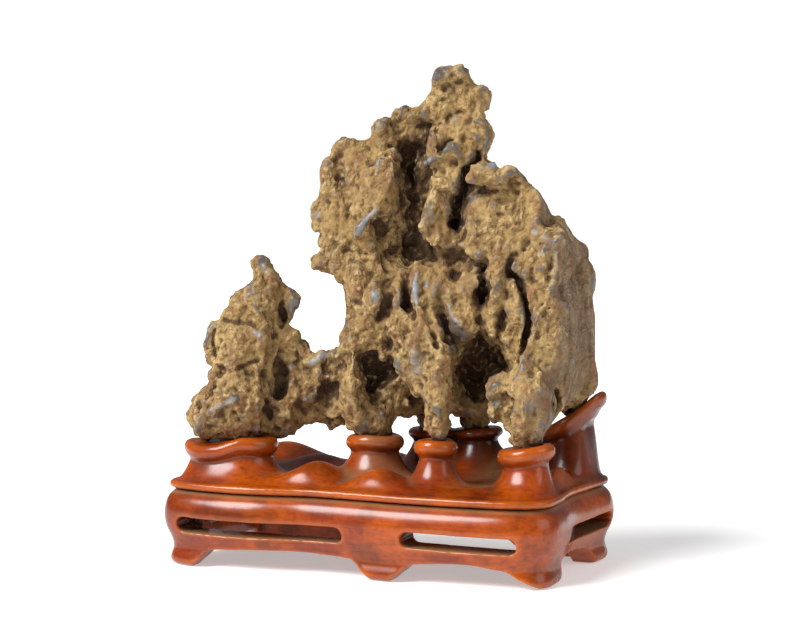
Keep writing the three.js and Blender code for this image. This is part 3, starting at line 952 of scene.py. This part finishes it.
# Cuts away all that stands outside the outline, seen from the eye. The cutter fans out from the eye.
def cutToOutline(rock, outline, reach=110):
    ends = []
    for away in (-reach, reach):
        depth = (showSide["eyeDistance"] + away) / showSide["eyeDistance"]
        ends.append([eye + (sheetPoint(across, up) - eye) * depth for across, up in outline])
    cutter = prism("outline", *ends, (bpy.ops.mesh.quads_convert_to_tris,
                                      {"quad_method": "BEAUTY", "ngon_method": "BEAUTY"}))
    cutAway(rock, cutter, "INTERSECT")


def sheetLumps(rows):
    return [sheetLump(*row[:4], lean=row[4]) for row in rows]


# Saves on each point what the limestone needs to know: how far it stands out or lies deep, how creased,
# closed in and rubbed it is, and whether it is on the right-hand face.
def markStone(rock, polish):
    points = pointsOf(rock)
    normals = normalsOf(rock)
    small = ((points - evenOut(rock, points, 8)) * normals).sum(1) / mm
    wide = ((points - evenOut(rock, points, 90)) * normals).sum(1) / mm
    crease = ((evenOut(rock, points, 2) - points) * normals).sum(1)
    calm = evenOut(rock, onRightFace(points, evenOut(rock, normals, 12)), 6)
    # how closed in each spot is, which the limestone paints as shade; the listed spots add more painted shade
    closed = closedIn(rock, rockShape["caveReach"] * mm)
    across = points @ np.array(acrossWay) / mm
    height = points @ np.array(upWay) / mm
    for spotAcross, spotUp, reach, share in rockShape["paintedShadeAndSoil"]:
        closed += share * np.exp(-((spotAcross - across) ** 2 + (spotUp - height) ** 2) / reach ** 2)
    saveValue(rock, "proud", 0.7 * small + 0.3 * wide)
    saveValue(rock, "deep", -small)
    # crease: above 0 in small creases, painted as shade, and below 0 on small ridges, painted as highlight
    saveValue(rock, "crease", crease / (1.6 * crease.std()) * (1 - 0.6 * calm))
    saveValue(rock, "closed", closed)
    saveValue(rock, "rightFace", calm)
    saveValue(rock, "polish", evenOut(rock, polish, 2))


def buildRock():
    shape = rockShape
    rock = copyOfNode("stone", "rock")
    rock = joinPieces([rock] + sheetLumps(shape["masses"]), "rock")
    remesh(rock, 1.5, smooth=6)
    rock = fillToOutline(rock, rockOutline)
    remesh(rock, 1.5, smooth=3)
    caves = joinPieces(sheetLumps(shape["caves"]), "caves")
    remesh(caves, 1.5)
    cutAway(rock, caves)
    for flat in shape["flats"]:
        cutAway(rock, flatCutter(*flat))
    rock = joinPieces([rock] + sheetLumps(shape["lateMasses"]), "rock")
    remesh(rock, 1.4)
    for flat in shape["lateFlats"]:
        cutAway(rock, flatCutter(*flat))
    remesh(rock, 1.4, smooth=1)
    thinTo(rock, shape["facets"])
    print("stone masses joined, caves cut and faces flattened")
    remesh(rock, 1.4)
    workSurface(rock, shape["hollows"])
    furrows = beadRows("furrows", rock, shape["furrows"], standOut=False)
    ribs = beadRows("ribs", rock, shape["ribs"], standOut=True)
    remesh(furrows, 0.9)
    rock = joinPieces([rock, ribs], "rock")
    remesh(rock, 1.15, smooth=1)
    cutAway(rock, furrows)
    remesh(rock, 1.15)
    thinTo(rock, shape["smallFacets"])
    remesh(rock, 1.1)
    workSurface(rock, shape["broadStrokes"])
    for count, seed, cast in shape["wild"]:
        workSurface(rock, wildStrokes(count, seed), cast)
    cutToOutline(rock, rockOutline)
    remesh(rock, shape["voxel"], smooth=1)
    weather(rock)
    remesh(rock, shape["voxel"])
    rock = dropCrumbs(rock)
    rock.name = "rock"
    print("stone ridges, furrows and weathering done")
    thinTo(rock, shape["triangles"])
    polish = np.zeros(len(rock.data.vertices))
    workSurface(rock, shape["fineStrokes"], polish=polish)
    markStone(rock, polish)
    return rock


def coat(piece, material):   # joining leaves an empty material slot behind
    piece.data.materials.clear()
    piece.data.materials.append(material)


limestone = limestoneMaterial()
rock = buildRock()
coat(rock, limestone)
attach(rock, "root")
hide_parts("stone")
print("stone finished:", len(rock.data.polygons), "faces")

# The stand's two outlines in plan, in mm: the lip all round, and the hollow inside the base.
lipPlan = [
    (-112, -63), (-86, -70), (-58, -71), (-28, -66), (2, -67.5), (34, -71), (66, -71), (96, -68),
    (111, -58), (113, -38), (111, -10), (114, 20), (116, 44), (107, 55), (72, 58), (30, 55),
    (-14, 57), (-58, 55), (-98, 57), (-114, 47), (-113, 16), (-116, -16), (-118, -46)]
hollowPlan = [
    (-96, -50), (-2, -50), (90, -50), (95, -45), (95, -5), (95, 33), (90, 38), (-2, 38),
    (-96, 38), (-101, 33), (-101, -6), (-101, -45)]


def smoothLine(points, steps, closed=True):   # a curve through the points
    count = len(points)
    spans = count if closed else count - 1
    out = []
    for k in range(spans):
        pick = [points[(k + j) % count] if closed else points[min(max(k + j, 0), count - 1)]
                for j in (-1, 0, 1, 2)]
        a, b, c, d = [np.array(point, float) for point in pick]
        for step in range(steps):
            t = step / steps
            out.append(0.5 * (2 * b + (c - a) * t + (2 * a - 5 * b + 4 * c - d) * t ** 2
                              + (3 * b - a - 3 * c + d) * t ** 3))
    if not closed:
        out.append(np.array(points[-1], float))
    return np.array(out)


# A closed solid of level rings that follow a line, stepped out and up by a profile.
def ringSolid(name, line, profile, rise=None):
    along = np.roll(line, -1, 0) - np.roll(line, 1, 0)
    along /= np.linalg.norm(along, axis=1)[:, None]
    outward = np.stack([along[:, 1], -along[:, 0]], 1)
    corners, faces = [], []
    count = len(line)
    for out, height in profile:
        ring = line + outward * out
        for x, y in ring:
            lift = rise(x, y, height) if rise else 0
            corners.append(planPoint(x, y, height + lift))
    for level in range(len(profile) - 1):
        for k in range(count):
            a, b = level * count + k, level * count + (k + 1) % count
            faces.append((a, b, b + count, a + count))
    faces.append(tuple(reversed(range(count))))
    faces.append(tuple(range((len(profile) - 1) * count, len(profile) * count)))
    return newPiece(name, corners, faces)


def planLump(x, y, z, half):
    return lump(planPoint(x, y, z), half)


topShape = {
    "lip": [(-4, 44), (-1.2, 44.2), (0.6, 45.4), (0.9, 46.8), (0.2, 48.1), (-1.6, 48.9), (-7, 49.2),
            (-14, 49.2)],
    # the carved ground runs down into the board near the lip; where forms meet, a low blend runs them
    # smoothly into each other and a high one keeps them apart
    "ground": {"height": 49.6, "blend": 2.4, "margin": 1.2, "sunk": 1.6, "thick": 2.6, "lipFade": 9,
               "across": (-122, 122), "away": (-78, 66)},
    # the carved swells: middle, half size, turn, height
    "swells": [
        ((-30, -44), (13, 21), -18, 12), ((-44, -50), (16, 12), 0, 5), ((12, -50), (17, 13), 10, 10.5),
        ((66, -52), (16, 10), 0, 3), ((110, -38), (11, 13), 0, 7), ((105, -8), (12, 18), 0, 12),
        ((-84, 34), (24, 15), 8, 12), ((-52, 8), (22, 14), 20, 9), ((68, 32), (16, 16), 0, 17),
        ((-20, 38), (22, 12), 0, 9), ((88, 0), (14, 14), 0, 5), ((-86, -4), (20, 12), 0, 5)],
    # painted shade, darkening the wood where the stone shades it: middle, reach, share
    "paintedShadeSpots": [(98, 36, 28, 0.8), (40, 36, 18, 0.8), (13, 32, 16, 0.8), (-60, 30, 30, 0.5),
                (66, 8, 20, 0.4)],
    # where dust has settled on the ground: middle, reach, share
    "dust": [(32, -20, 13, 0.6), (-1, -38, 9, 0.45), (20, -32, 12, 0.7), (64, -26, 15, 0.8),
             (-20, -6, 12, 0.6), (60, 6, 14, 0.6)],
    # middle, half size, how far the foot spreads, height of the collar, and the rim's height from left
    # to right
    "pedestals": [
        ((-86, -40), (26, 18), 6.5, 9.5, ((-112, 71), (-98, 68.5), (-86, 70), (-72, 74.5), (-60, 73))),
        ((-4, -20), (14.5, 13), 8, 8.5, ((-19, 75), (-4, 76.5), (11, 75))),
        ((40, -38), (9.8, 9.5), 7, 9, ((30, 76), (40, 77), (50, 76))),
        ((92.5, -36), (13.5, 13), 6.5, 9.5, ((78, 73), (92, 74.5), (106, 77))),
        ((98, 33), (17.5, 16), 5, 10, ((80, 75), (88, 80), (94, 83.5), (101, 87.5), (108, 93), (115, 100))),
        ((13, 28), (12, 11), 9, 7, ((0, 75), (26, 75))),
        ((40, 32), (13, 11), 9, 7, ((26, 75), (54, 77)))],
    "sockets": [
        (-88, -34, 92, (25, 22, 23)), (-100, -38, 84, (15.5, 18.5, 15)), (-5, -20, 84, (13.5, 11.5, 13)),
        (40, -37, 94, (8.2, 8, 23)), (93, -33, 90, (12, 11.5, 20)), (13, 28, 92, (10, 9, 23)),
        (40, 32, 94, (11, 9, 24)), (97, 30, 110, (15.5, 14, 29))],
    "caveReach": 35,
    "triangles": 190000,
}


# Swells and the flaring necks of the pedestals, run into each other as one carved ground.
def carvedGround(lipLine):
    shape = topShape
    ground = shape["ground"]
    xs = np.arange(*ground["across"], 1.0)
    ys = np.arange(*ground["away"], 1.0)
    x, y = np.meshgrid(xs, ys, indexing="ij")
    height = np.zeros_like(x)
    for (cx, cy), (hx, hy), turn, rise in shape["swells"]:
        angle = math.radians(turn)
        along = (x - cx) * math.cos(angle) + (y - cy) * math.sin(angle)
        aside = (y - cy) * math.cos(angle) - (x - cx) * math.sin(angle)
        height += (rise * np.exp(-(along / hx) ** 2 - (aside / hy) ** 2)) ** ground["blend"]
    for (cx, cy), (hx, hy), spread, collar, rims in shape["pedestals"]:
        places, heights = zip(*rims)
        neck = np.interp(x, places, heights) - 0.6 * collar - ground["height"]
        away = (np.hypot((x - cx) / hx, (y - cy) / hy) - 1) * min(hx, hy) + 2
        height += (neck * np.exp(-np.clip(away, 0, None) * 1.5 / spread)) ** ground["blend"]
    height = height ** (1 / ground["blend"])
    line = [Vector((a, b, 0)) for a, b in lipLine]
    finder = KDTree(len(line))
    for k, point in enumerate(line):
        finder.insert(point, k)
    finder.balance()
    centre = lipLine.mean(0)
    corners, faces, number = [], [], {}
    for i in range(len(xs)):
        for j in range(len(ys)):
            spot = Vector((x[i, j], y[i, j], 0))
            near, k, distance = finder.find(spot)
            outward = Vector((lipLine[k][0] - centre[0], lipLine[k][1] - centre[1], 0))
            inside = distance if (spot - near).dot(outward) < 0 else -distance
            if inside < ground["margin"]:
                continue
            fade = eased(min(1, (inside - ground["margin"]) / ground["lipFade"]))
            number[i, j] = len(corners)
            level = ground["height"] - ground["sunk"] + (ground["sunk"] + height[i, j]) * fade
            corners.append(planPoint(x[i, j], y[i, j], level))
    for (i, j), a in number.items():
        if all(pair in number for pair in ((i + 1, j), (i, j + 1), (i + 1, j + 1))):
            faces.append((a, number[i + 1, j], number[i + 1, j + 1], number[i, j + 1]))
    sheet = newPiece("ground", corners, faces)
    # closed below by drawing the sheet down inside the board
    drawnDown = {"TRANSFORM_OT_translate": {"value": (0, 0, -ground["thick"] * mm)}}
    editAll(sheet, (bpy.ops.mesh.extrude_region_move, drawnDown),
            (bpy.ops.mesh.normals_make_consistent, {"inside": False}))
    return sheet


def buildCollar(middle, half, spread, collar, rims):
    angles = np.linspace(0, 2 * np.pi, 72, endpoint=False)
    line = np.stack([middle[0] + half[0] * np.cos(angles), middle[1] + half[1] * np.sin(angles)], 1)
    places, heights = zip(*rims)
    rimMean = sum(heights) / len(heights)
    neck = rimMean - collar

    def rise(x, y, height):
        return np.interp(x, places, heights) - rimMean

    profile = smoothLine(
        [(-3.2, neck - 2.5), (-1.6, neck - 0.6), (1.2, neck + 1.2), (2.7, neck + 0.45 * collar),
         (2.0, rimMean - 1.6), (-0.4, rimMean), (-3.2, rimMean - 0.4)], 4, closed=False)
    return ringSolid("collar", line, profile, rise)


def markWood(piece):
    points = pointsOf(piece)
    normals = normalsOf(piece)
    small = ((points - evenOut(piece, points, 25)) * normals).sum(1) / mm
    wide = ((points - evenOut(piece, points, 160)) * normals).sum(1) / mm
    saveValue(piece, "proud", 0.9 * small + 0.12 * wide)
    saveValue(piece, "deep", -0.8 * small - 0.25 * wide)
    return points, normals, small, wide


def nearSpot(points, x, y, reach):   # 1 at a place on the stand's drawing, fading out all round it
    away = np.hypot(*(points / mm - np.array(planPoint(x, y, 0)) / mm)[:, :2].T) / reach
    return np.exp(-away ** 2)


def buildStandTop():
    shape = topShape
    lipLine = smoothLine(lipPlan, 10)
    board = ringSolid("standTop", lipLine, smoothLine(shape["lip"], 3, closed=False))
    collars = [buildCollar(*one) for one in shape["pedestals"]]
    top = joinPieces([board, carvedGround(lipLine)] + collars, "standTop")
    remesh(top, 0.9, smooth=9)
    cutAway(top, joinPieces([planLump(*socket) for socket in shape["sockets"]], "sockets"))
    remesh(top, 0.85, smooth=2)
    thinTo(top, shape["triangles"])
    points, normals, small, wide = markWood(top)
    dusty = np.clip(-0.9 * small - 0.28 * wide - 0.25, 0, 1) * rising(normals[:, 2], 0.1, 0.5)
    for x, y, reach, share in shape["dust"]:
        dusty += share * nearSpot(points, x, y, reach) * rising(normals[:, 2], -0.3, 0.6)
    # how closed in each spot is, which the wood paints as shade, with the listed spots of painted shade added
    closed = closedIn(top, shape["caveReach"] * mm)
    for x, y, reach, share in shape["paintedShadeSpots"]:
        closed += share * nearSpot(points, x, y, reach)
    saveValue(top, "closed", closed)
    saveValue(top, "dusty", evenOut(top, np.clip(dusty, 0, 1), 4))
    return top


baseShape = {
    "wall": [(-4, 0), (-1.1, 0.8), (0.4, 2.6), (0.3, 4.6), (-0.7, 7.6), (-1.5, 10.5), (-0.3, 15.5),
             (2.6, 21.5), (3.9, 28), (3.4, 34), (1.4, 39.4), (-3, 43.6)],
    "hollow": [(5, -2), (1, 14), (0, 44.6)],
    "arches": {   # along the wall from left to right, how far each foot runs out, and the height
        "front": [(-99, 12, 12, 13, 11), (23.5, 109, 13, 21, 11)], "back": [(-46, 66, 14, 14, 11)],
        "right": [(-38, 28, 12, 12, 11)], "left": [(-48, 40, 12, 12, 6)]},
    "slots": {"front": [(-107, -4), (32, 98)], "back": [(-98, -8), (14, 96)], "right": [(-25, 43)],
              "left": [(-36, 40)]},
    "slotHeight": 24.5, "slotTall": 8.6,
    # whether the wall runs to the back, where a cut through it starts, and which way the cut goes
    "walls": {"front": (False, -86, 1), "back": (False, 34, 1), "right": (True, 128, -1),
              "left": (True, -135, 1)},
    "cutDepth": 40,
    "caveReach": 35,
    "triangles": 190000,
}


# A flat outline, drawn along a wall and up, pushed right through the wall.
def throughWall(outline, side):
    runsBack, start, way = baseShape["walls"][side]
    ends = []
    for at in (start, start + way * baseShape["cutDepth"]):
        ends.append([planPoint(at, along, up) if runsBack else planPoint(along, at, up)
                     for along, up in outline])
    return prism("cutter", *ends)


def archOutline(left, right, leanLeft, leanRight, top):
    knots = [(left - 1, -2), (left + 0.12 * leanLeft, 1.5), (left + 0.5 * leanLeft, 0.5 * top),
             (left + 0.85 * leanLeft, 0.86 * top), (left + 1.3 * leanLeft, top),
             ((left + right) / 2, top + 1.6),
             (right - 1.3 * leanRight, top), (right - 0.85 * leanRight, 0.86 * top),
             (right - 0.5 * leanRight, 0.5 * top), (right - 0.12 * leanRight, 1.5), (right + 1, -2)]
    return smoothLine(knots, 8, closed=False)


def slotOutline(left, right):
    radius = baseShape["slotTall"] / 2
    middle = baseShape["slotHeight"]
    knots = []
    for end, start in ((right - radius, -90), (left + radius, 90)):
        for k in range(13):
            angle = math.radians(start + 15 * k)
            sag = 0.5 * math.sin(end / 17)
            knots.append((end + radius * math.cos(angle), middle + sag + radius * math.sin(angle)))
    return knots


def buildStandBase():
    shape = baseShape
    base = ringSolid("standBase", smoothLine(lipPlan, 10), smoothLine(shape["wall"], 4, closed=False))
    cutAway(base, ringSolid("hollow", smoothLine(hollowPlan, 8), shape["hollow"]))
    for openings, outlineOf in ((shape["arches"], archOutline), (shape["slots"], slotOutline)):
        for side, rows in openings.items():
            for row in rows:
                cutAway(base, throughWall(outlineOf(*row), side))
    remesh(base, 0.85, smooth=14)
    thinTo(base, shape["triangles"])
    points, normals = markWood(base)[:2]
    heights = points[:, 2] / mm
    underLip = 0.8 * rising(heights, 40.8, 2) * np.clip(normals[:, 2] * 2, 0, 1)
    slotFloor = rising(normals[:, 2], 0.3, 0.4) * np.clip(1 - np.abs(heights - 20.5) / 2.5, 0, 1)
    saveValue(base, "dusty", evenOut(base, np.clip(underLip + slotFloor, 0, 1), 3))
    # how closed in each spot is, which the wood paints as shade
    saveValue(base, "closed", closedIn(base, shape["caveReach"] * mm))
    return base


rosewood = hardwoodMaterial()
for piece, nodeName in ((buildStandTop(), "stand_top"), (buildStandBase(), "stand_base")):
    coat(piece, rosewood)
    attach(piece, "root")
    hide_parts(nodeName)
    print(nodeName, "finished:", len(piece.data.polygons), "faces")
